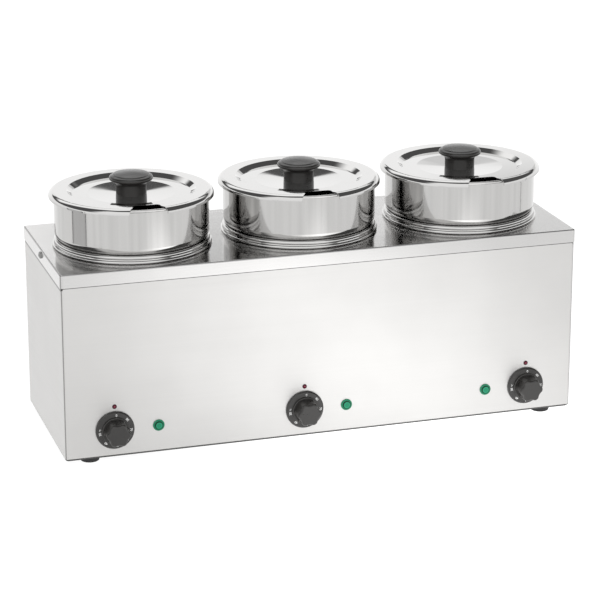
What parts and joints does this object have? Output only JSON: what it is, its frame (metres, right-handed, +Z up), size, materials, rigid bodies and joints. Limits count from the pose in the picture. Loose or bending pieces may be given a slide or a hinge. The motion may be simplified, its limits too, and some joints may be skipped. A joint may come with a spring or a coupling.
{
  "type": "soup kettle",
  "caption": "Counter-top wet-heat soup kettle: stainless rectangular casing with round wells, each holding a lidded pot with a ladle notch, and a thermostat knob and pilot lamp for each pot.",
  "frame": {"origin": "on the counter, at the bottom of the feet, under the middle of the casing", "axes": "+Z up, -Y towards the front with the knobs, +X to the right seen from the front"},
  "size_m": [0.696, 0.282, 0.3476],
  "materials": {
    "casing_steel": "fine satin",
    "polished_steel": "mirror polished stainless steel",
    "fastener_steel": "plain",
    "heater_steel": "heat-tinted",
    "black_plastic": "satin phenolic",
    "black_nylon": "moulded",
    "white_nylon": "moulded",
    "thermostat_case": "plain",
    "copper": "drawn copper",
    "rubber": "moulded",
    "green_lens": "translucent lens",
    "red_plastic": "gloss"
  },
  "bodies": {
    "root": {"top_cover": "casing_steel", "casing_wrap": "casing_steel", "rear_panel": "casing_steel", "base_plate": "casing_steel", "cover_screws": "fastener_steel", "rear_panel_screws": "fastener_steel", "base_plate_screws": "fastener_steel", "foot_screws": "fastener_steel", "thermostat_screws": "fastener_steel", "foot_front_left": "rubber", "foot_front_right": "rubber", "foot_rear_left": "rubber", "foot_rear_right": "rubber", "cable_gland": "black_nylon", "cable_gland_nut": "black_nylon", "terminal_block": "white_nylon", "heater_clamp_nuts": "fastener_steel", "well_left": "polished_steel", "heater_left": "heater_steel", "heater_clamp_left": "fastener_steel", "thermostat_left": "thermostat_case", "thermostat_bulb_left": "copper", "pilot_lens_left": "green_lens", "pilot_lamp_left": "white_nylon", "index_dot_left": "red_plastic", "well_middle": "polished_steel", "heater_middle": "heater_steel", "heater_clamp_middle": "fastener_steel", "thermostat_middle": "thermostat_case", "thermostat_bulb_middle": "copper", "pilot_lens_middle": "green_lens", "pilot_lamp_middle": "white_nylon", "index_dot_middle": "red_plastic", "well_right": "polished_steel", "heater_right": "heater_steel", "heater_clamp_right": "fastener_steel", "thermostat_right": "thermostat_case", "thermostat_bulb_right": "copper", "pilot_lens_right": "green_lens", "pilot_lamp_right": "white_nylon", "index_dot_right": "red_plastic"},
    "pot_left": {"pot_left": "polished_steel"},
    "lid_left": {"lid_left": "polished_steel", "lid_knob_left": "black_plastic", "lid_knob_screw_left": "fastener_steel"},
    "control_knob_left": {"control_knob_left": "black_plastic", "thermostat_shaft_left": "fastener_steel"},
    "pot_middle": {"pot_middle": "polished_steel"},
    "lid_middle": {"lid_middle": "polished_steel", "lid_knob_middle": "black_plastic", "lid_knob_screw_middle": "fastener_steel"},
    "control_knob_middle": {"control_knob_middle": "black_plastic", "thermostat_shaft_middle": "fastener_steel"},
    "pot_right": {"pot_right": "polished_steel"},
    "lid_right": {"lid_right": "polished_steel", "lid_knob_right": "black_plastic", "lid_knob_screw_right": "fastener_steel"},
    "control_knob_right": {"control_knob_right": "black_plastic", "thermostat_shaft_right": "fastener_steel"}
  },
  "joints": [
    {"name": "pot_left_lift", "type": "slide", "parent": "root", "child": "pot_left", "axis": [0, 0, 1], "range_m": [0, 0.18]},
    {"name": "lid_left_lift", "type": "slide", "parent": "pot_left", "child": "lid_left", "axis": [0, 0, 1], "range_m": [0, 0.12]},
    {"name": "control_knob_left_turn", "type": "hinge", "parent": "root", "child": "control_knob_left", "pos_m": [-0.2795, -0.128, 0.0435], "axis": [0, 1, 0], "range_deg": [0, 315]},
    {"name": "pot_middle_lift", "type": "slide", "parent": "root", "child": "pot_middle", "axis": [0, 0, 1], "range_m": [0, 0.18]},
    {"name": "lid_middle_lift", "type": "slide", "parent": "pot_middle", "child": "lid_middle", "axis": [0, 0, 1], "range_m": [0, 0.12]},
    {"name": "control_knob_middle_turn", "type": "hinge", "parent": "root", "child": "control_knob_middle", "pos_m": [-0.028, -0.128, 0.0435], "axis": [0, 1, 0], "range_deg": [0, 315]},
    {"name": "pot_right_lift", "type": "slide", "parent": "root", "child": "pot_right", "axis": [0, 0, 1], "range_m": [0, 0.18]},
    {"name": "lid_right_lift", "type": "slide", "parent": "pot_right", "child": "lid_right", "axis": [0, 0, 1], "range_m": [0, 0.12]},
    {"name": "control_knob_right_turn", "type": "hinge", "parent": "root", "child": "control_knob_right", "pos_m": [0.2795, -0.128, 0.0435], "axis": [0, 1, 0], "range_deg": [0, 315]}
  ]
}
